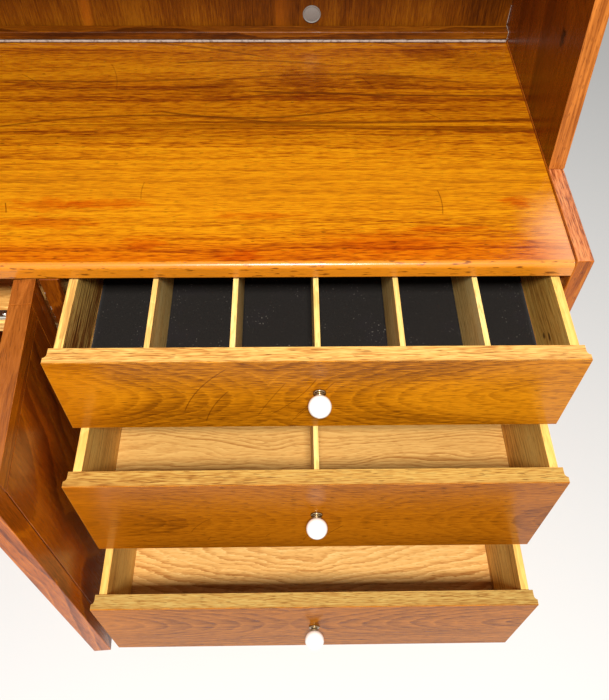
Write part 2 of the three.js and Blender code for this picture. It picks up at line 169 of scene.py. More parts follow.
WOOD = {
    "seed": 0.0, "broad": 0.7, "cloud": 0.5, "streak": 0.75, "fine": 0.6, "line": 0.3, "heart": 0.0,
    "rings": 60.0, "centre": 0.0, "middle": 0.0, "depth": 0.03, "tilt": 0.05, "face": 0.0,
    "sway": 0.05, "feather": 0.25, "pores": 0.35, "pore": srgb(50, 20, 4), "along": 9.0,
    "rough": 0.28, "specular": 0.4, "bump": 0.1, "wear": None, "wear_width": 0.0015, "wear_amount": 0.6,
}
# Noise scales per metre, along the grain and across it.
SWAY_SCALE = (5.0, 11.0)
FEATHER_SCALE = (60.0, 500.0)
BROAD_SCALE = (1.3, 17.0)
CLOUD_SCALE = (3.0, 7.0)
FINE_SCALE = (60.0, 850.0)
PORE_SCALE = (85.0, 1000.0)
STREAK_ACROSS = 330.0
WEAR_SCALE = (70.0, 70.0)
# How far a wood's seed shifts its noise along each axis.
SEED_SHIFT = (1.71, 0.37, 0.61)
# The distance from the pith, in metres, over which heartwood turns to sapwood.
HEART_EDGE = (0.052, 0.068)
# The tones at which a wood has its light, middle and dark colour.
LIGHT_TONE = 0.2
MID_TONE = 0.5
DARK_TONE = 0.85
LACQUER_IOR = 1.45


def grain_vector(n, coords, order):
    parts = n.split(coords)
    return n.join(*(parts[axis] for axis in ORDERS[order]))


def rings(n, grain, shifted, spec):
    """Distance from the pith, and the rings on the board's face: a pale line after each dark one."""
    along, across, through = n.split(grain)
    sway = n.noise(n.scaled(shifted, *SWAY_SCALE))
    u = n.total(n.math("SUBTRACT", across, spec["centre"]), (sway, spec["sway"]))
    distance = n.math("ABSOLUTE", n.math("SUBTRACT", along, spec["middle"]))
    depth = n.total(spec["depth"] - spec["face"], (distance, -spec["tilt"]))
    depth = n.math("ADD", depth, through)
    radius = n.math("SQRT", n.math("MULTIPLY_ADD", depth, depth, n.math("MULTIPLY", u, u)))
    feather = n.noise(n.scaled(shifted, *FEATHER_SCALE), 2.0, 0.6)
    phase = n.total(n.math("MULTIPLY", radius, spec["rings"]), (feather, spec["feather"]))
    part = n.math("FRACT", phase)
    strength = n.add("ShaderNodeTexWhiteNoise", noise_dimensions="1D")
    n.put(strength.inputs["W"], n.math("FLOOR", phase))
    line = n.math("MULTIPLY", n.ramp(part, 0.2, 0.9), n.ramp(part, 1.0, 0.92))
    line = n.total(line, (n.ramp(part, 0.16, 0.02), -0.8))
    return radius, n.math("MULTIPLY", line, n.math("MULTIPLY_ADD", strength.outputs[0], 0.8, 0.2))


def wood_colour(n, coords, order, spec):
    """The colour, tone (0 light, 1 dark) and height of bare wood."""
    grain = grain_vector(n, coords, order)
    seed = spec["seed"]
    shifted = n.vector("ADD", grain, tuple(seed * part for part in SEED_SHIFT))
    streak = n.noise(n.scaled(shifted, spec["along"], STREAK_ACROSS), 4.0, 0.65)
    fine = n.noise(n.scaled(shifted, *FINE_SCALE), 1.0)
    radius, line = rings(n, grain, shifted, spec)
    tone = n.total(
        MID_TONE,
        (n.noise(n.scaled(shifted, *BROAD_SCALE)), spec["broad"]),
        (n.noise(n.scaled(shifted, *CLOUD_SCALE), 3.0), spec["cloud"]),
        (streak, spec["streak"]),
        (fine, spec["fine"]),
        (n.math("SUBTRACT", line, 0.25), spec["line"]),
        (n.ramp(radius, *HEART_EDGE, -0.5, 0.5), spec["heart"]),
    )
    scale = n.add("ShaderNodeValToRGB")
    n.put(scale.inputs["Fac"], tone)
    stops = scale.color_ramp.elements
    stops[0].position, stops[0].color = LIGHT_TONE, spec["light"]
    stops[1].position, stops[1].color = DARK_TONE, spec["dark"]
    stops.new(MID_TONE).color = spec["mid"]
    pore = n.ramp(n.noise(n.scaled(shifted, *PORE_SCALE), 0.0), 0.15, 0.25)
    colour = n.mix(n.math("MULTIPLY", pore, spec["pores"]), scale.outputs[0], spec["pore"])
    height = n.math("SUBTRACT", n.math("MULTIPLY", streak, 0.5), pore)
    return colour, tone, height


def wood(name, order, look, turn=(0.0, 0.0, 0.0), paint=None, **changes):
    """A lacquered wood. paint(n, coords, colour) may lay marks over the bare wood."""
    spec = {**WOOD, **look, **changes}
    material, n, shader = new_material(name)
    coords = object_coords(n, turn)
    colour, tone, height = wood_colour(n, coords, order, spec)
    if paint:
        colour = paint(n, coords, colour)
    if spec["wear"]:
        patchy = n.ramp(n.noise(n.scaled(coords, *WEAR_SCALE), 3.0), -0.15, 0.15, 0.3, 1.0)
        worn = n.math("MULTIPLY", edge_mask(n, spec["wear_width"]), patchy)
        colour = n.mix(n.math("MULTIPLY", worn, spec["wear_amount"]), colour, spec["wear"])
    n.put(shader.inputs["Base Color"], colour)
    n.put(shader.inputs["Roughness"], n.math("MULTIPLY_ADD", tone, 0.12, spec["rough"] - 0.06))
    shader.inputs["IOR"].default_value = LACQUER_IOR
    shader.inputs["Specular IOR Level"].default_value = spec["specular"]
    bump(n, shader, height, spec["bump"])
    return material


# ---------------------------------------------------------------- wear marks

def arc_group():
    """A node group: a thin mark from Start along Along in a plane, bowed sideways by Bow."""
    group = bpy.data.node_groups.new("arc_mark", "ShaderNodeTree")
    face = group.interface
    for name, kind in (("Point", "Vector"), ("Start", "Vector"), ("Along", "Vector"), ("Side", "Vector"),
                       ("Bow", "Float"), ("Width", "Float")):
        face.new_socket(name, in_out="INPUT", socket_type=f"NodeSocket{kind}")
    face.new_socket("Mark", in_out="OUTPUT", socket_type="NodeSocketFloat")
    n = Nodes(group)
    given = n.add("NodeGroupInput").outputs
    offset = n.vector("SUBTRACT", given["Point"], given["Start"])
    along = n.vector("DOT_PRODUCT", offset, given["Along"])
    side = n.vector("DOT_PRODUCT", offset, given["Side"])
    hump = n.math("MULTIPLY", along, n.math("SUBTRACT", 1.0, along))
    bend = n.math("MULTIPLY", n.math("MULTIPLY", hump, 4.0), given["Bow"])
    away = n.math("ABSOLUTE", n.math("SUBTRACT", side, bend))
    line = n.ramp(away, given["Width"], 0.0)
    n.add("NodeGroupOutput", {"Mark": n.math("MULTIPLY", line, n.ramp(hump, 0.0, 0.08))})
    return group


ARC_MARK = arc_group()


def scratches(n, colour, point, marks, tint, width=1.2):
    """Tint thin arcs: each is (start, end, bow, strength), all in millimetres in the plane of point."""
    for start, end, bow, strength in marks:
        start, end = Vector((*start, 0)) * MM, Vector((*end, 0)) * MM
        run = end - start
        node = n.add("ShaderNodeGroup", node_tree=ARC_MARK)
        n.put(node.inputs["Point"], point)
        node.inputs["Start"].default_value = start
        node.inputs["Along"].default_value = run / run.length_squared
        node.inputs["Side"].default_value = Vector((-run.y, run.x, 0)).normalized()
        node.inputs["Bow"].default_value = bow * MM
        node.inputs["Width"].default_value = width * MM
        colour = n.mix(n.math("MULTIPLY", node.outputs[0], strength), colour, tint)
    return colour


def spots(n, colour, point, places, tint):
    """Tint soft ragged patches: each is (centre, half width, half depth, strength), sizes in millimetres."""
    ragged = n.noise(n.scaled(point, 45.0, 160.0), 3.0, 0.65)
    for centre, half_u, half_v, strength in places:
        offset = n.vector("SUBTRACT", point, (centre[0] * MM, centre[1] * MM, 0))
        stretched = n.vector("MULTIPLY", offset, (1 / (half_u * MM), 1 / (half_v * MM), 0))
        reach = n.total(n.vector("LENGTH", stretched), (ragged, 2.2))
        colour = n.mix(n.ramp(reach, 1.1, 0.3, 0.0, strength), colour, tint, "MULTIPLY")
    return colour


# ---------------------------------------------------------------- wood finishes

WALNUT_TOP = {
    "light": srgb(206, 134, 12), "mid": srgb(184, 106, 6), "dark": srgb(126, 54, 3), "seed": 3.1,
    "rings": 44.0, "tilt": 0.02, "depth": 0.05, "sway": 0.03, "line": 0.25, "centre": 0.3, "middle": 0.1,
    "streak": 1.0, "fine": 1.4, "broad": 0.5, "cloud": 0.35, "specular": 0.45, "rough": 0.26, "face": 0.74,
    "pores": 0.55, "along": 3.5,
}
WALNUT_FRONT = {
    "light": srgb(204, 128, 14), "mid": srgb(178, 106, 8), "dark": srgb(120, 64, 4),
    "rings": 120.0, "middle": 0.1, "tilt": 0.32, "depth": 0.105, "sway": 0.05, "line": 0.2, "streak": 0.7,
    "fine": 1.1, "broad": 0.4, "feather": 0.5, "heart": 0.28, "specular": 0.14, "rough": 0.22, "cloud": 0.5,
    "pores": 0.6,
}
WALNUT_CORE = {
    "light": srgb(236, 192, 112), "mid": srgb(222, 168, 90), "dark": srgb(170, 110, 50), "broad": 0.4,
    "cloud": 0.25, "fine": 1.3, "rings": 110.0, "line": 0.1, "pores": 0.55, "pore": srgb(110, 62, 24),
}
WALNUT_CASE = {
    "light": srgb(196, 114, 32), "mid": srgb(168, 88, 18), "dark": srgb(108, 46, 6), "seed": 5.2,
    "pores": 0.5, "wear": srgb(222, 150, 84), "specular": 0.3,
}
WALNUT_DARK = {
    "light": srgb(140, 72, 10), "mid": srgb(112, 51, 4), "dark": srgb(66, 25, 2), "seed": 2.4,
    "broad": 0.8, "streak": 0.8, "wear": srgb(215, 130, 56), "specular": 0.25,
}
WALNUT_DOOR = {
    "light": srgb(184, 98, 12), "mid": srgb(146, 68, 6), "dark": srgb(86, 32, 2), "seed": 9.7,
    "rings": 70.0, "tilt": 0.1, "depth": 0.08, "line": 0.3, "streak": 0.6, "wear": srgb(220, 125, 44),
    "specular": 0.3, "centre": -0.3, "middle": 0.5, "sway": 0.08,
}
FREE_STILE = {"light": srgb(212, 118, 14), "mid": srgb(174, 86, 6), "dark": srgb(106, 42, 2), "specular": 0.2}
DOOR_EDGE = {"light": srgb(156, 88, 32), "mid": srgb(136, 72, 22), "dark": srgb(90, 42, 10)}
SIDE_EDGING = {
    "light": srgb(206, 132, 78), "mid": srgb(184, 104, 56), "dark": srgb(108, 48, 18),
    "streak": 1.5, "fine": 1.2,
}
PARTITION = {
    **WALNUT_DOOR, "light": srgb(132, 66, 8), "mid": srgb(104, 46, 4), "dark": srgb(60, 20, 2), "seed": 0.7,
    "line": 0.5,
}
SHADED = {"light": srgb(130, 74, 8), "mid": srgb(102, 50, 3), "dark": srgb(58, 23, 2), "specular": 0.16}
OAK_PALE = {
    "light": srgb(246, 206, 112), "mid": srgb(230, 174, 78), "dark": srgb(168, 104, 36), "seed": 4.4,
    "rings": 160.0, "line": 0.25, "pores": 0.5, "pore": srgb(140, 84, 30), "specular": 0.2, "rough": 0.45,
    "streak": 1.2, "broad": 1.1,
}
OAK_VENEER = {
    "light": srgb(244, 202, 124), "mid": srgb(230, 178, 98), "dark": srgb(180, 118, 52), "seed": 8.8,
    "rings": 120.0, "tilt": 0.05, "depth": 0.07, "sway": 0.08, "feather": 0.45, "line": 0.4, "streak": 0.5,
    "pores": 0.5, "pore": srgb(150, 92, 36), "specular": 0.2, "rough": 0.45, "broad": 0.4, "cloud": 0.3,
}
SCRATCH_TINT = srgb(70, 18, 2)
LINE_TINT = srgb(84, 34, 3)
RED_STAIN = srgb(232, 168, 122)
# Brown stains, which also paint shade into the back right corner of the desk top.
BROWN_STAIN_AND_SHADE = srgb(192, 164, 128)

# The plane of each face that carries marks, as two of the object's axes.
LEVEL = (0, 1)
FRONTAL = (0, 2)
SIDEWAYS = (1, 2)
# The middle and spread, in degrees, of the angles at which marks run.
ACROSS_GRAIN = (115, 20)
ALONG_GRAIN = (0, 2)
RISING = (58, 6)


def area(name, plane, across, up):
    """The limits in millimetres of part of a node's face, given as shares of the node's box."""
    low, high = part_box(name)
    return [[(low[axis] + (high[axis] - low[axis]) * share) / MM for share in shares]
            for axis, shares in zip(plane, (across, up))]


def seeded_scratches(seed, count, limits, lean, length):
    """Random thin marks that start inside the limits, as scratches() takes them."""
    draw = random.Random(seed)
    marks = []
    for _ in range(count):
        start = [draw.uniform(*span) for span in limits]
        angle = math.radians(draw.gauss(*lean))
        run = draw.uniform(*length)
        end = (start[0] + run * math.cos(angle), start[1] + run * math.sin(angle))
        marks.append((start, end, run * draw.uniform(-0.08, 0.08), draw.uniform(0.4, 0.8)))
    return marks


def seeded_stains(seed, count, limits, widths, depths):
    """Random soft stains whose middles lie inside the limits, as spots() takes them."""
    draw = random.Random(seed)
    stains = []
    for _ in range(count):
        middle = [draw.uniform(*span) for span in limits]
        stains.append((middle, draw.uniform(*widths), draw.uniform(*depths), draw.uniform(0.5, 0.9)))
    return stains


# Where the tones of the desk top come in and go out, in metres back or right from the frame's origin.
# The darker back is partly a darker board and partly painted shade under the hutch. The golden middle is
# partly wood tone and partly painted light.
SHADED_BACK_IN = (0.1, 0.2)
SEAM_IN = (0.135, 0.16)
SEAM_OUT = (0.2, 0.17)
LIT_MIDDLE_IN = (-0.04, 0.03)
LIT_MIDDLE_OUT = (0.13, 0.05)
RED_FRONT_IN = (-0.02, -0.07)
FADED_RIGHT_IN = (0.38, 0.45)
FADED_FRONT_IN = (0.05, -0.04)
# The rounded front edge starts this far back, and its colour comes in over the blend.
NOSE_START = 0.008
NOSE_BLEND = 0.0025
GRAIN_LINE_WIDTH = 3.4


def top_tones(n, coords, colour):
    """Darker to the back, partly a darker board and partly painted shade under the hutch; streaks where two
    boards meet; a brighter golden middle, partly wood tone and partly painted light; and a faded front right
    corner.
    """
    x, y = n.split(coords)[:2]
    wave = n.noise(n.scaled(coords, 2.5, 6.0))
    depth = n.total(y, (wave, 0.05))
    # Painted shade, partly a darker board: the top darkens towards the back, under the hutch.
    colour = n.mix(n.ramp(depth, *SHADED_BACK_IN, 0.0, 0.6), colour, srgb(205, 190, 165), "MULTIPLY")
    band = n.math("MULTIPLY", n.ramp(depth, *SEAM_IN), n.ramp(depth, *SEAM_OUT))
    thin = n.ramp(n.noise(n.scaled(coords, 2.2, 190.0)), -0.02, 0.14, 0.0, 0.75)
    colour = n.mix(n.math("MULTIPLY", band, thin), colour, srgb(160, 115, 80), "MULTIPLY")
    # Painted light, partly wood tone: a brighter golden band across the middle.
    lit_middle = n.math("MULTIPLY", n.ramp(depth, *LIT_MIDDLE_IN), n.ramp(depth, *LIT_MIDDLE_OUT))
    colour = n.mix(n.math("MULTIPLY", lit_middle, 0.35), colour, srgb(205, 132, 14))
    colour = n.mix(n.ramp(depth, *RED_FRONT_IN, 0.0, 0.8), colour, srgb(242, 190, 170), "MULTIPLY")
    faded_right = n.ramp(n.total(x, (wave, 0.1)), *FADED_RIGHT_IN)
    faded = n.math("MULTIPLY", faded_right, n.ramp(y, *FADED_FRONT_IN))
    return n.mix(n.math("MULTIPLY", faded, 0.5), colour, srgb(238, 172, 122))


def top_marks(n, coords, colour):
    """Red stains near the front, brown patches at the back right that are partly stain and partly painted
    shade beside the hutch, dark lines along the grain, then scratches.
    """
    flat = n.join(*n.split(coords)[:2])
    near_front = area("desk_top", LEVEL, (0.3, 0.95), (0.02, 0.25))
    back_right = area("desk_top", LEVEL, (0.5, 1.0), (0.7, 1.0))
    back = area("desk_top", LEVEL, (0.0, 0.6), (0.5, 1.0))
    whole = area("desk_top", LEVEL, (0.05, 0.95), (0.1, 0.9))
    red = seeded_stains(seed=1, count=9, limits=near_front, widths=(15, 90), depths=(7, 22))
    colour = spots(n, colour, flat, red, RED_STAIN)
    # Partly painted shade: these brown patches darken the back right corner beside the hutch side.
    brown = seeded_stains(seed=2, count=8, limits=back_right, widths=(30, 110), depths=(12, 45))
    colour = spots(n, colour, flat, brown, BROWN_STAIN_AND_SHADE)
    lines = seeded_scratches(seed=3, count=12, limits=back, lean=ALONG_GRAIN, length=(220, 480))
    colour = scratches(n, colour, flat, lines, LINE_TINT, GRAIN_LINE_WIDTH)
    marks = seeded_scratches(seed=4, count=13, limits=whole, lean=ACROSS_GRAIN, length=(15, 75))
    return scratches(n, colour, flat, marks, SCRATCH_TINT)


def top_nose(n, coords, colour):
    """The rounded front edge: paler, with dark flecks."""
    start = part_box("desk_top")[0].y + NOSE_START
    nose = n.ramp(n.split(coords)[1], start, start - NOSE_BLEND)
    colour = n.mix(n.math("MULTIPLY", nose, 0.6), colour, srgb(214, 136, 30))
    fleck = n.ramp(n.noise(n.scaled(coords, 60.0, 350.0)), 0.08, 0.2, 0.0, 0.8)
    return n.mix(n.math("MULTIPLY", nose, fleck), colour, srgb(90, 40, 8))


def paint_top(n, coords, colour):
    """The desk top: its tones, then its stains and scratches, then its front edge."""
    colour = top_tones(n, coords, colour)
    colour = top_marks(n, coords, colour)
    return top_nose(n, coords, colour)


FRONT_FIGURES = {
    1: {"seed": 1.9, "centre": 0.648},
    2: {"seed": 6.3, "centre": 0.47, "middle": 0.2, "depth": 0.12, "tilt": 0.3, "line": 0.16, "heart": -0.2,
        "specular": 0.1, "light": srgb(176, 102, 12), "mid": srgb(154, 85, 7), "dark": srgb(98, 46, 3),
        "streak": 1.0},
    3: {"seed": 8.1, "centre": 0.31, "middle": 0.12, "depth": 0.1, "tilt": 0.25, "line": 0.3, "heart": 0.1,
        "specular": 0.04, "light": srgb(190, 112, 20), "mid": srgb(166, 95, 14), "dark": srgb(110, 56, 8),
        "streak": 1.2},
}
FRONT_CORES = {1: srgb(242, 240, 238), 2: srgb(202, 202, 186), 3: srgb(195, 202, 200)}
# How many scratches each front has, and how long they are in millimetres.
FRONT_SCRATCHES = {1: (6, (50, 110)), 2: (5, (10, 60)), 3: (1, (50, 60))}
FRONT_SCRATCH_SEED = 10
# Depths behind the face: where the veneer ends, and where the glue line starts, is deepest and ends.
VENEER_T = 0.0012
VENEER_BLEND = 0.0002
VENEER_GLUE = (0.0018, 0.0024, 0.0032)
# The golden tint at the left end of a front reaches this far in.
GOLDEN_END = 0.11


def front_wood(index):
    """A drawer front: figured veneer on the face, paler solid wood on the edges and coves."""
    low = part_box(f"drawer_{index}_front")[0]

    def paint(n, coords, colour):
        x, y, z = n.split(coords)
        count, length = FRONT_SCRATCHES[index]
        limits = area(f"drawer_{index}_front", FRONTAL, (0.2, 0.6), (0.02, 0.3))
        marks = seeded_scratches(FRONT_SCRATCH_SEED + index, count, limits, RISING, length)
        colour = scratches(n, colour, n.join(x, z), marks, SCRATCH_TINT)
        golden = n.ramp(x, low.x + GOLDEN_END, low.x, 0.0, 0.3)
        colour = n.mix(golden, colour, srgb(206, 118, 6))
        core = {**WOOD, **WALNUT_CORE, "seed": float(index)}
        edge = wood_colour(n, coords, "X", core)[0]
        edge = n.mix(1.0, edge, FRONT_CORES[index], "MULTIPLY")
        start, deep, end = (low.y + depth for depth in VENEER_GLUE)
        line = n.math("MULTIPLY", n.ramp(y, start, deep), n.ramp(y, end, deep))
        edge = n.mix(n.math("MULTIPLY", line, 0.4), edge, srgb(150, 90, 36))
        behind = n.ramp(y, low.y + VENEER_T - VENEER_BLEND, low.y + VENEER_T + VENEER_BLEND)
        return n.mix(behind, colour, edge)

    look = {**WALNUT_FRONT, **FRONT_FIGURES[index], "face": low.y}
    return wood(f"walnut_front_{index}", "XZ", look, paint=paint, wear=srgb(240, 186, 96), wear_width=0.0012)


def facing_up(n, start=0.7, strength=1.0):
    """0 on upright faces, rising to strength on those that face up."""
    return n.ramp(n.facing(2), start, 0.9, 0.0, strength)


def paint_case(n, coords, colour):
    """The tops of the sides carry an edging, redder than the rest, with its grain front to back."""
    edging = wood_colour(n, coords, "Y", {**WOOD, **WALNUT_CASE, **SIDE_EDGING})[0]
    return n.mix(facing_up(n), colour, edging)


def paint_oak_lit_tops(n, coords, colour):
    """Painted light: the faces of the drawer sides that turn up are painted paler than the rest, as if lit
    from above.
    """
    return n.mix(facing_up(n, strength=0.5), colour, srgb(224, 178, 100))


def paint_stained_side(n, coords, colour):
    """Drawer 1's right side: brown stains halfway up, near its front end, then painted light on its upper
    edge.
    """
    y, z = n.split(coords)[1:]
    limits = area("drawer_1_side_right", SIDEWAYS, (0.05, 0.15), (0.4, 0.6))
    stains = seeded_stains(seed=5, count=3, limits=limits, widths=(4, 7), depths=(2, 4))
    colour = spots(n, colour, n.join(y, z), stains, srgb(80, 40, 20))
    return paint_oak_lit_tops(n, coords, colour)


def paint_back_panel(n, coords, colour):
    """Upright veneer leaves: some strips lighter, with a few dark lines."""
    x = n.split(coords)[0]
    drift = n.noise(n.scaled(coords, 1.5, 1.5))
    x = n.total(x, (drift, 0.03))
    strips = n.noise(n.join(n.math("MULTIPLY", x, 14.0), 0.0), 1.0)
    colour = n.mix(n.ramp(strips, 0.12, 0.2, 0.0, 0.55), colour, srgb(176, 94, 14))
    lines = n.noise(n.join(n.math("MULTIPLY", x, 42.0), 3.0), 1.0)
    return n.mix(n.ramp(lines, 0.17, 0.24, 0.0, 0.6), colour, srgb(48, 18, 2))


# The knot on the hutch sides: how far back and up it is, and its half width and height, in millimetres.
KNOT_AT = (160, 870)
KNOT_SIZE = (9, 15)


def paint_hutch_side(n, coords, colour):
    """A dark knot low on the side, and the lighter open-grained front edge."""
    x, y, z = n.split(n.add("ShaderNodeTexCoord").outputs["Object"])
    colour = spots(n, colour, n.join(y, z), [(KNOT_AT, *KNOT_SIZE, 1.0)], srgb(90, 60, 50))
    edge = n.ramp(n.facing(1), -0.5, -0.8)
    open_grain = n.join(n.math("MULTIPLY", x, 600.0), n.math("MULTIPLY", z, 90.0))
    pores = n.ramp(n.noise(open_grain, 1.0), 0.08, 0.2)
    bands = n.noise(n.join(n.math("MULTIPLY", x, 240.0), n.math("MULTIPLY", z, 9.0)), 3.0, 0.6)
    light = n.mix(n.ramp(bands, -0.2, 0.2), srgb(202, 120, 48), srgb(138, 72, 22))
    light = n.mix(n.math("MULTIPLY", pores, 0.6), light, srgb(104, 50, 14))
    return n.mix(n.math("MULTIPLY", edge, 0.85), colour, light)


def paint_door_top(n, coords, colour):
    """The grain of the door's top edge runs along the door, over stiles and rail alike."""
    edge = wood_colour(n, coords, "X", {**WOOD, **WALNUT_DOOR, **DOOR_EDGE})[0]
    return n.mix(facing_up(n, start=0.6), colour, edge)


# ---------------------------------------------------------------- other finishes

def felt_finish():
    material, n, shader = new_material("black_felt")
    coords = object_coords(n)
    nap = n.noise(n.scaled(coords, 900.0, 900.0), 4.0, 0.7)
    patch = n.noise(n.scaled(coords, 25.0, 25.0), 3.0)
    colour = n.mix(n.ramp(nap, -0.3, 0.3), srgb(6, 5, 4), srgb(38, 34, 31))
    colour = n.mix(n.ramp(patch, 0.0, 0.2, 0.0, 0.3), colour, srgb(30, 25, 28))
    lint = n.ramp(n.noise(n.scaled(coords, 550.0, 550.0), 0.0), 0.27, 0.36)
    dusty = n.math("MULTIPLY", lint, n.ramp(patch, -0.05, 0.1, 0.1, 0.7))
    colour = n.mix(dusty, colour, srgb(140, 132, 120))
    n.put(shader.inputs["Base Color"], colour)
    shader.inputs["Roughness"].default_value = 0.95
    shader.inputs["Sheen Weight"].default_value = 0.08
    shader.inputs["Sheen Roughness"].default_value = 0.5
    shader.inputs["Specular IOR Level"].default_value = 0.1
    bump(n, shader, nap, 0.6, 0.0006)
    return material


def plain_finish(name, colour, stain, rough, scale, metal=0.0, coat=0.0, amount=0.3):
    """Ceramic, metal or plastic: one colour with blotches of a stain, and uneven gloss."""
    material, n, shader = new_material(name)
    coords = object_coords(n)
    blotch = n.noise(n.scaled(coords, scale, scale), 4.0, 0.6)
    n.put(shader.inputs["Base Color"], n.mix(n.ramp(blotch, -0.05, 0.2, 0.0, amount), colour, stain))
    n.put(shader.inputs["Roughness"], n.math("MULTIPLY_ADD", blotch, 0.25, rough))
    shader.inputs["Metallic"].default_value = metal
    shader.inputs["Coat Weight"].default_value = coat
    shader.inputs["Coat Roughness"].default_value = 0.04
    bump(n, shader, blotch, 0.08)
    return material


# ---------------------------------------------------------------- camera, floor and lights

CAMERA_AT = (0.1278, -0.63875, 1.345)
CAMERA_PITCH = math.radians(54.07)
CAMERA_TURN = math.radians(-1.5)
CAMERA_ROLL = math.radians(0.84)
CAMERA_LENS = 37.17
CAMERA_NEAR = 0.02
FLOOR_HALF = 30.0
FLOOR_COLOUR = (0.74, 0.74, 0.74, 1.0)
KEY_AT = (0.15, -1.48, 2.8)
KEY_AIM = (0.15, -0.2, 0.5)
KEY_SIZE = 0.35
KEY_POWER = 120.0
KEY_COLOUR = (1.0, 0.985, 0.95)
FILL_COLOUR = (1.0, 0.99, 0.97, 1.0)
# The strength of the surrounding light: on surfaces, then as seen directly and in reflections.
FILL = 0.2
GLOSS_FILL = 1.6


def link(obj):
    bpy.context.scene.collection.objects.link(obj)
    return obj


def make_camera():
    data = bpy.data.cameras.new("camera")
    data.lens = CAMERA_LENS
    data.clip_start = CAMERA_NEAR
    camera = link(bpy.data.objects.new("camera", data))
    aim = Matrix.Rotation(CAMERA_TURN, 4, "Z") @ Matrix.Rotation(math.pi / 2 - CAMERA_PITCH, 4, "X")
    camera.matrix_world = Matrix.Translation(CAMERA_AT) @ aim @ Matrix.Rotation(CAMERA_ROLL, 4, "Z")
    bpy.context.scene.camera = camera


def make_floor():
    mesh = bpy.data.meshes.new("floor")
    corners = [(x * FLOOR_HALF, y * FLOOR_HALF, 0) for x, y in ((-1, -1), (1, -1), (1, 1), (-1, 1))]
    mesh.from_pydata(corners, [], [(0, 1, 2, 3)])
    floor = link(bpy.data.objects.new("floor", mesh))
    material, _, shader = new_material("floor_pale")
    shader.inputs["Base Color"].default_value = FLOOR_COLOUR
    shader.inputs["Roughness"].default_value = 0.9
    shader.inputs["Specular IOR Level"].default_value = 0.0
    mesh.materials.append(material)


def make_lights():
    world = bpy.data.worlds.new("studio")
    world.use_nodes = True
    n = Nodes(world.node_tree)
    background = world.node_tree.nodes["Background"]
    path = n.add("ShaderNodeLightPath").outputs
    bright = n.math("MAXIMUM", path["Is Glossy Ray"], path["Is Camera Ray"])
    n.put(background.inputs["Color"], FILL_COLOUR)
    n.put(background.inputs["Strength"], n.math("MULTIPLY_ADD", bright, GLOSS_FILL - FILL, FILL))
    bpy.context.scene.world = world
    data = bpy.data.lights.new("key", "AREA")
    data.size = KEY_SIZE
    data.energy = KEY_POWER
    data.color = KEY_COLOUR
    key = link(bpy.data.objects.new("key", data))
    key.location = KEY_AT
    key.rotation_euler = (Vector(KEY_AIM) - Vector(KEY_AT)).to_track_quat("-Z", "Y").to_euler()
    bpy.context.scene.view_settings.view_transform = "Standard"


# ---------------------------------------------------------------- dress the CAD nodes

DOOR_TURN = (0.0, 0.0, -DOOR_OPEN)
SIDE_TURN = (HUTCH_LEAN, 0.0, 0.0)
WELD_REACH = 0.00002
ROUND_STEPS = 3
SHARP_ANGLE = math.radians(40)
# How far the edges of each kind of piece are rounded, in metres.
ROUNDING = {
    "metal": 0.0003, "panel": 0.0004, "front": 0.0005, "drawer": 0.0006, "board": 0.0008, "level": 0.001,
    "partition": 0.0012, "side": 0.0015, "leg": 0.002,
}


def soften(name, kind):
    """Merge the facets' corners and round the sharp edges."""
    node = NODES[name]
    node.modifiers.new("weld", "WELD").merge_threshold = WELD_REACH
    bevel = node.modifiers.new("bevel", "BEVEL")
    bevel.width = ROUNDING[kind]
    bevel.segments = ROUND_STEPS
    bevel.limit_method = "ANGLE"
    bevel.angle_limit = SHARP_ANGLE


def dress(names, material, kind):
    """Give nodes their material, and edges rounded as their kind of piece has them."""
    for name in names:
        data = NODES[name].data
        data.materials.clear()
        data.materials.append(material)
        soften(name, kind)


def pair(name):
    return [f"{name}_left", f"{name}_right"]


def dress_case():
    dress(["desk_top"], wood("walnut_desk_top", "X", WALNUT_TOP, paint=paint_top), "board")
    dress(pair("base_side"), wood("walnut_sides", "ZY", WALNUT_CASE, paint=paint_case), "side")
    dress(pair("leg_frame"), wood("walnut_legs", "ZY", WALNUT_CASE, seed=1.2), "leg")
    level = wood("walnut_level", "X", WALNUT_CASE, seed=6.6)
    dress(["base_bottom", "hutch_shelf", "hutch_top"], level, "level")
    partition = wood("walnut_partition", "ZY", PARTITION, wear=srgb(140, 70, 14))
    dress(["base_partition"], partition, "partition")
    dress(["cupboard_shelf"], wood("oak_shelf", "X", OAK_VENEER, seed=3.3), "board")
    side = wood("walnut_hutch_sides", "ZY", WALNUT_DARK, SIDE_TURN, paint_hutch_side, seed=4.9)
    dress(pair("hutch_side"), side, "side")
    panel = wood("walnut_back_panels", "Z", {**WALNUT_DARK, **SHADED}, paint=paint_back_panel, line=0.1)
    dress(["hutch_back", "base_back"], panel, "panel")
    dress(["hutch_bottom_rail"], wood("walnut_rail", "XZ", {**WALNUT_DARK, **SHADED}, seed=7.7), "side")


def dress_door():
    upright = wood("walnut_door_upright", "Z", WALNUT_DOOR, DOOR_TURN, paint_door_top)
    level = wood("walnut_door_level", "XZ", WALNUT_DOOR, DOOR_TURN, paint_door_top, seed=2.8)
    free = wood("walnut_door_free", "Z", {**WALNUT_DOOR, **FREE_STILE}, DOOR_TURN, paint_door_top)
    dress(["door_stile_hinge_side", "door_panel"], upright, "board")
    dress(["door_stile_free_side"], free, "board")
    dress(["door_rail_bottom", "door_rail_top"], level, "board")


# Drawer 1's left side: real dark stripes, and a darker tone that is partly stain and partly painted shade.
STRIPED_SHADED_SIDE = {**OAK_PALE, "mid": srgb(152, 88, 26), "dark": srgb(64, 32, 6), "streak": 2.0, "broad": 1.4}
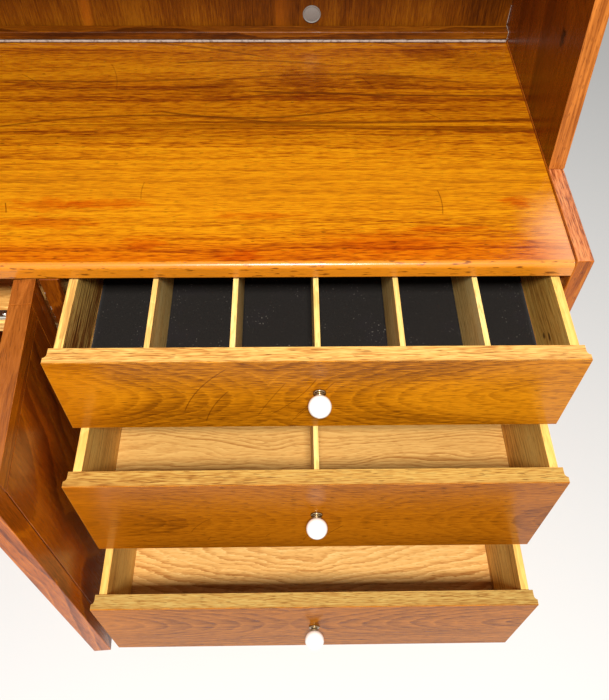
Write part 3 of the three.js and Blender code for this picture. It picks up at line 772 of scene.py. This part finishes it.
# Painted light: a paler copy of the drawer oak for the slats and runners, brighter than the wood's own tone.
SLAT_PAINTED_LIT = {**OAK_PALE, "light": srgb(255, 228, 156), "mid": srgb(248, 208, 124), "dark": srgb(206, 152, 80)}
BOTTOM_FIGURES = {
    1: {"seed": 2.0},
    2: {"seed": 9.6, "centre": 0.05, "middle": 0.3, "rings": 190.0, "line": 0.4, "streak": 0.3,
        "feather": 0.3, "light": srgb(210, 166, 96), "mid": srgb(196, 148, 80), "dark": srgb(156, 104, 46)},
    3: {"seed": 5.5, "centre": -0.17, "middle": 0.16, "tilt": -0.3, "depth": 0.02, "line": 0.35,
        "feather": 0.8, "light": srgb(230, 186, 116), "mid": srgb(217, 164, 92), "dark": srgb(172, 112, 50)},
}


def dress_drawers():
    sides = wood("oak_sides", "Y", OAK_PALE, paint=paint_oak_lit_tops)
    stained = wood("oak_side_stained", "Y", OAK_PALE, paint=paint_stained_side, seed=3.9)
    striped = wood("oak_side_striped_shaded", "Y", STRIPED_SHADED_SIDE, paint=paint_oak_lit_tops)
    backs = wood("oak_backs", "XZ", OAK_PALE, seed=1.4)
    slats = wood("oak_slats_painted_lit", "Y", SLAT_PAINTED_LIT, paint=paint_oak_lit_tops, seed=2.2)
    for index in DRAWERS:
        label = f"drawer_{index}"
        dress([f"{label}_front"], front_wood(index), "front")
        dress([f"{label}_side_left"], striped if index == 1 else sides, "drawer")
        dress([f"{label}_side_right"], stained if index == 1 else sides, "drawer")
        dress(pair(f"{label}_runner"), slats, "drawer")
        dress([f"{label}_back"], backs, "drawer")
        figure = {**OAK_VENEER, **BOTTOM_FIGURES[index], "face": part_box(f"{label}_bottom")[1].z}
        dress([f"{label}_bottom"], wood(f"oak_bottom_{index}", "X", figure), "panel")
    dress([name for name in NODES if "_slat_" in name], slats, "front")


# ---------------------------------------------------------------- pieces modelled here

def mesh_piece(name, bm, material, slot, body, *stands_for, smooth=True):
    """Turn a bmesh into a piece of the object that rides on a body."""
    for face in bm.faces:
        face.smooth = smooth
    bmesh.ops.recalc_face_normals(bm, faces=bm.faces)
    mesh = bpy.data.meshes.new(name)
    bm.to_mesh(mesh)
    bm.free()
    mesh.materials.append(material)
    piece = link(bpy.data.objects.new(name, mesh))
    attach(piece, body)
    if stands_for:
        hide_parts(*stands_for)
    return piece


def lathe(bm, profile, centre, segments=72):
    """Turn (radius, y) points about an axis through centre along Y. The ends close at radius 0."""
    rows = []
    for radius, y in profile:
        count = segments if radius else 1
        angles = [2 * math.pi * step / segments for step in range(count)]
        rows.append([bm.verts.new((centre.x + radius * math.cos(a), y, centre.z + radius * math.sin(a)))
                     for a in angles])
    for near, far in zip(rows, rows[1:]):
        for step in range(segments):
            after = (step + 1) % segments
            corners = [near[step % len(near)], near[after % len(near)]]
            corners += [far[after % len(far)], far[step % len(far)]]
            bm.faces.new(list(dict.fromkeys(corners)))


def arc(centre, radius, start, end, steps):
    """Points (radius, y) of a circle round centre, from angle start to end, both in degrees from -Y."""
    turns = [math.radians(start + (end - start) * step / steps) for step in range(steps + 1)]
    return [(centre[0] + radius * math.sin(turn), centre[1] - radius * math.cos(turn)) for turn in turns]


# The flat of the knob has a ring of points this far in from its edge.
KNOB_LIP = 0.6 * MM
# The stem: a rolled collar behind the ball, a neck, a dished foot, and the foot's rolled rim.
COLLAR_AT = 5.2 * MM
COLLAR_ROLL = 1.0 * MM
# Points as (radius, distance): the neck's from the stem's front end, the dish's from its back end.
NECK = ((4.9 * MM, 2.4 * MM), (4.6 * MM, 3.2 * MM))
DISH = ((4.5 * MM, 2.9 * MM), (4.9 * MM, 2.5 * MM), (5.6 * MM, 2.35 * MM))
RIM_ROLL = 1.1 * MM
RIM_LIFT = 1.2 * MM


def knob(index, glaze, bronze):
    """A round white knob with a small flat where its turned bronze stem meets it."""
    label = f"drawer_{index}"
    low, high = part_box(f"{label}_knob")
    middle = (low + high) / 2
    radius = (high.x - low.x) / 2
    ball_y = low.y + radius
    reach = 180 - math.degrees(math.acos((high.y - ball_y) / radius))
    bm = bmesh.new()
    ball = arc((0, ball_y), radius, 0, reach, 40)
    ball[0] = (0, low.y)
    lathe(bm, [*ball, (ball[-1][0] - KNOB_LIP, high.y), (0, high.y)], middle)
    mesh_piece(f"{label}_knob_ball", bm, glaze, "white_ceramic", label, f"{label}_knob")
    low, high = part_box(f"{label}_knob_stem")
    foot = (high.x - low.x) / 2
    bm = bmesh.new()
    collar = arc((COLLAR_AT, low.y + COLLAR_ROLL), COLLAR_ROLL, 0, 180, 10)
    neck = [(size, low.y + behind) for size, behind in NECK]
    dish = [(size, high.y - before) for size, before in DISH]
    rim = arc((foot - RIM_ROLL, high.y - RIM_LIFT), RIM_ROLL, 0, 90, 8)
    lathe(bm, [(0, low.y), *collar, *neck, *dish, *rim, (foot, high.y), (0, high.y)], middle)
    mesh_piece(f"{label}_stem", bm, bronze, "aged_bronze", label, f"{label}_knob_stem")


CAP_ROLL = 0.8 * MM
CAP_SINK = 0.5 * MM
CAP_RIM = 2.2 * MM


def plug(plastic):
    """The round cap over the cord hole: a rolled rim round a slightly sunk face."""
    low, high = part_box("hutch_cord_hole_plug")
    radius = (high.x - low.x) / 2
    rim = arc((radius - CAP_ROLL, low.y + CAP_ROLL), CAP_ROLL, -90, 90, 12)
    bm = bmesh.new()
    face_y = low.y + CAP_SINK
    profile = [(0, face_y), (radius - CAP_RIM, face_y), *rim, (radius, high.y), (0, high.y)]
    lathe(bm, profile, (low + high) / 2)
    mesh_piece("cord_hole_cap", bm, plastic, "grey_plastic", "carcase", "hutch_cord_hole_plug")


# A bead's swellings per metre, and how much of its wobble each point of a ring has on its own.
BEAD_SWELLS = 90
BEAD_LUMPS = 0.4


def sweep(bm, path, radius, wobble, sides=10):
    """A round string along path, its radius swelling and thinning by wobble."""
    rows = []
    for index, point in enumerate(path):
        ahead = path[min(index + 1, len(path) - 1)] - path[max(index - 1, 0)]
        turn = ahead.to_track_quat("Z", "Y").to_matrix()
        size = radius * (1 - wobble * (0.5 + 0.5 * waves.noise(point * BEAD_SWELLS)))
        ring = []
        for side in range(sides):
            angle = 2 * math.pi * side / sides
            lump = size * (1 - wobble * BEAD_LUMPS * random.random())
            spoke = Vector((math.cos(angle) * lump, math.sin(angle) * lump, 0))
            ring.append(bm.verts.new(point + turn @ spoke))
        rows.append(ring)
    for near, far in zip(rows, rows[1:]):
        for side in range(sides):
            after = (side + 1) % sides
            bm.faces.new((near[side], near[after], far[after], far[side]))
    bm.faces.new(reversed(rows[0]))
    bm.faces.new(rows[-1])


def between(start, end, step):
    """Points from start to end, about step apart."""
    count = max(2, round((end - start).length / step))
    return [start.lerp(end, index / count) for index in range(count + 1)]


BACK_BEAD_INSET = 1 * MM
BACK_BEAD_STEP = 4 * MM
BACK_BEAD_WOBBLE = 0.35


def back_bead(sealant):
    """The ragged pale bead along the back of the desk top."""
    low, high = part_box("hutch_bottom_strip")
    middle = (low + high) / 2
    start = Vector((low.x + BACK_BEAD_INSET, middle.y, middle.z))
    end = Vector((high.x - BACK_BEAD_INSET, middle.y, middle.z))
    bm = bmesh.new()
    sweep(bm, between(start, end, BACK_BEAD_STEP), (high.z - low.z) / 2, BACK_BEAD_WOBBLE)
    mesh_piece("back_bead", bm, sealant, "grey_bead", "carcase", "hutch_bottom_strip")


CORNER_RADIUS = 0.6 * MM
CORNER_STEP = 2.5 * MM
CORNER_WOBBLE = 0.4
# How far the corner bead's middle stands off the hutch side, the rail, and the back panel low and high.
CORNER_OFF = 0.9 * MM
PANEL_OFF_LOW = 1.4 * MM
PANEL_OFF_HIGH = 1.0 * MM
# Its heights: the foot above the bottom of the back bead, then the rest above the rail.
CORNER_FOOT = 4 * MM
RAIL_CROSSING = 0.4 * MM
PANEL_START = 0.9 * MM
CORNER_HEAD = 34 * MM


def corner_bead(sealant):
    """The bead's thin end: up the rail in the right corner, back over it, and up the panel."""
    foot_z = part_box("hutch_bottom_strip")[0].z + CORNER_FOOT
    rail_low, rail_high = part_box("hutch_bottom_rail")
    rail_y = rail_low.y - CORNER_OFF
    panel_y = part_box("hutch_back")[0].y
    corner_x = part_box("hutch_side_right")[0].x - CORNER_OFF
    knees = [
        Vector((corner_x, rail_y, foot_z)),
        Vector((corner_x, rail_y, rail_high.z + RAIL_CROSSING)),
        Vector((corner_x, panel_y - PANEL_OFF_LOW, rail_high.z + PANEL_START)),
        Vector((corner_x, panel_y - PANEL_OFF_HIGH, rail_high.z + CORNER_HEAD)),
    ]
    path = [point for a, b in zip(knees, knees[1:]) for point in between(a, b, CORNER_STEP)[:-1]]
    bm = bmesh.new()
    sweep(bm, path, CORNER_RADIUS, CORNER_WOBBLE)
    mesh_piece("corner_bead", bm, sealant, "grey_bead", "carcase")


FELT_INSET = 0.6 * MM
FELT_STEP = 0.006
# The felt's ripples per metre, and how far they sink its top and move its cut edges.
FELT_RIPPLES = 30
FELT_SINK = 0.1 * MM
FELT_DIP = 0.15 * MM
FELT_EDGE_DROP = 0.3 * MM
FELT_EDGE_PULL = 0.4 * MM


def felt():
    """The black felt laid in the top drawer: wavy at its cut edges, with a faintly uneven top."""
    low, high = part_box("drawer_1_felt")
    low = low + Vector((FELT_INSET, FELT_INSET, 0))
    high = high - Vector((FELT_INSET, FELT_INSET, 0))
    width, length = high.x - low.x, high.y - low.y
    columns, rows = round(width / FELT_STEP), round(length / FELT_STEP)
    bm = bmesh.new()
    rims = []
    for top in (False, True):
        grid = []
        for row in range(rows + 1):
            line = []
            for column in range(columns + 1):
                x = low.x + width * column / columns
                y = low.y + length * row / rows
                ripple = waves.noise(Vector((x, y, 0)) * FELT_RIPPLES)
                edge = row in (0, rows) or column in (0, columns)
                drop = FELT_EDGE_DROP if edge else 0
                z = high.z - FELT_SINK - FELT_DIP * abs(ripple) - drop if top else low.z
                pull = FELT_EDGE_PULL * ripple if edge else 0
                line.append(bm.verts.new((x + pull, y + pull, z)))
            grid.append(line)
        for near, far in zip(grid, grid[1:]):
            for column in range(columns):
                bm.faces.new((near[column], near[column + 1], far[column + 1], far[column]))
        right = [line[-1] for line in grid]
        left = [line[0] for line in grid]
        rims.append(grid[0][:-1] + right[:-1] + grid[-1][:0:-1] + left[:0:-1])
    count = len(rims[0])
    for step in range(count):
        after = (step + 1) % count
        bm.faces.new((rims[0][step], rims[0][after], rims[1][after], rims[1][step]))
    lining = mesh_piece("felt_lining", bm, felt_finish(), "black_felt", "drawer_1", "drawer_1_felt")


# The catch's distance from the shelf's right end and front edge, its size, and how high its middle is.
CATCH_INSET = 0.086
CATCH_BACK = 10 * MM
CATCH_SIZE = (24 * MM, 14 * MM, 7 * MM)
CATCH_LIFT = 3.7 * MM
CATCH_ROUND = 1.6 * MM
# The screw's head as (radius, y) points round a dimple and an arc, and its place from the catch's foot.
SCREW_DIMPLE = [(0, -2.0 * MM), (0.5 * MM, -2.4 * MM)]
SCREW_ARC_AT = (1.4 * MM, 0)
SCREW_ARC_RADIUS = 2.2 * MM
SCREW_AT = (3 * MM, 0, 7.15 * MM)


def catch(steel):
    """A small pressed-steel catch screwed to the front of the cupboard shelf."""
    shelf_low, shelf_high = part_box("cupboard_shelf")
    at = Vector((shelf_high.x - CATCH_INSET, shelf_low.y + CATCH_BACK, shelf_high.z))
    bm = bmesh.new()
    bmesh.ops.create_cube(bm, size=1)
    bmesh.ops.scale(bm, vec=CATCH_SIZE, verts=bm.verts)
    bmesh.ops.translate(bm, vec=at + Vector((0, 0, CATCH_LIFT)), verts=bm.verts)
    bmesh.ops.bevel(bm, geom=bm.edges[:], offset=CATCH_ROUND, segments=3, affect="EDGES")
    mesh_piece("shelf_catch", bm, steel, "hinge_steel", "carcase", smooth=False)
    bm = bmesh.new()
    head = arc(SCREW_ARC_AT, SCREW_ARC_RADIUS, 90, 20, 8)
    lathe(bm, [*SCREW_DIMPLE, *reversed(head), (0, 0)], Vector((0, 0, 0)), 32)
    upright = Matrix.Rotation(math.radians(-90), 3, "X")
    bmesh.ops.rotate(bm, cent=(0, 0, 0), matrix=upright, verts=bm.verts)
    bmesh.ops.translate(bm, vec=at + Vector(SCREW_AT), verts=bm.verts)
    mesh_piece("shelf_catch_screw", bm, steel, "hinge_steel", "carcase")


DUST_SPECKS = 4
# In millimetres: how far below the partition's top the specks are, their radii, and their places in the gap.
DUST_DROP = (20, 80)
DUST_SIZE = (0.8, 1.5)
DUST_RIGHT = (0.4, 0.9)
DUST_FORWARD = 0.2
# The share of its radius that a dent in a speck takes, and a speck's stretch along each axis.
DUST_DENT = 0.3
DUST_STRETCH = (0.6, 0.4, 1.2)


def dust(sealant):
    """A few pale specks caught in the gap between the door and the partition."""
    low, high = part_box("base_partition")
    for index in range(DUST_SPECKS):
        drop = random.uniform(*DUST_DROP)
        size = random.uniform(*DUST_SIZE)
        bm = bmesh.new()
        bmesh.ops.create_icosphere(bm, subdivisions=2, radius=size * MM)
        for vert in bm.verts:
            vert.co *= 1 - DUST_DENT * (1 - random.random())
        right = random.uniform(*DUST_RIGHT)
        at = Vector((low.x + right * MM, low.y - DUST_FORWARD * MM, high.z - drop * MM))
        bmesh.ops.scale(bm, vec=DUST_STRETCH, verts=bm.verts)
        bmesh.ops.translate(bm, vec=at, verts=bm.verts)
        mesh_piece(f"dust_speck_{index + 1}", bm, sealant, "grey_bead", "carcase")


def fittings():
    glaze = plain_finish("white_glaze", srgb(252, 251, 248), srgb(240, 236, 226), 0.1, 120.0, coat=0.5)
    bronze = plain_finish("aged_bronze", srgb(158, 138, 106), srgb(58, 42, 26), 0.2, 260.0, metal=1.0,
                          amount=0.7)
    steel = plain_finish("hinge_steel", srgb(190, 186, 176), srgb(90, 76, 56), 0.3, 220.0, metal=1.0)
    plastic = plain_finish("grey_plastic", srgb(124, 119, 114), srgb(108, 100, 94), 0.5, 500.0)
    sealant = plain_finish("grey_bead", srgb(156, 138, 126), srgb(96, 72, 56), 0.6, 190.0, amount=0.8)
    for index in DRAWERS:
        knob(index, glaze, bronze)
    dress([name for name in NODES if name.startswith("hinge_")], steel, "metal")
    plug(plastic)
    back_bead(sealant)
    corner_bead(sealant)
    felt()
    catch(steel)
    dust(sealant)


random.seed(RANDOM_SEED)
make_camera()
make_floor()
make_lights()
dress_case()
dress_door()
dress_drawers()
fittings()
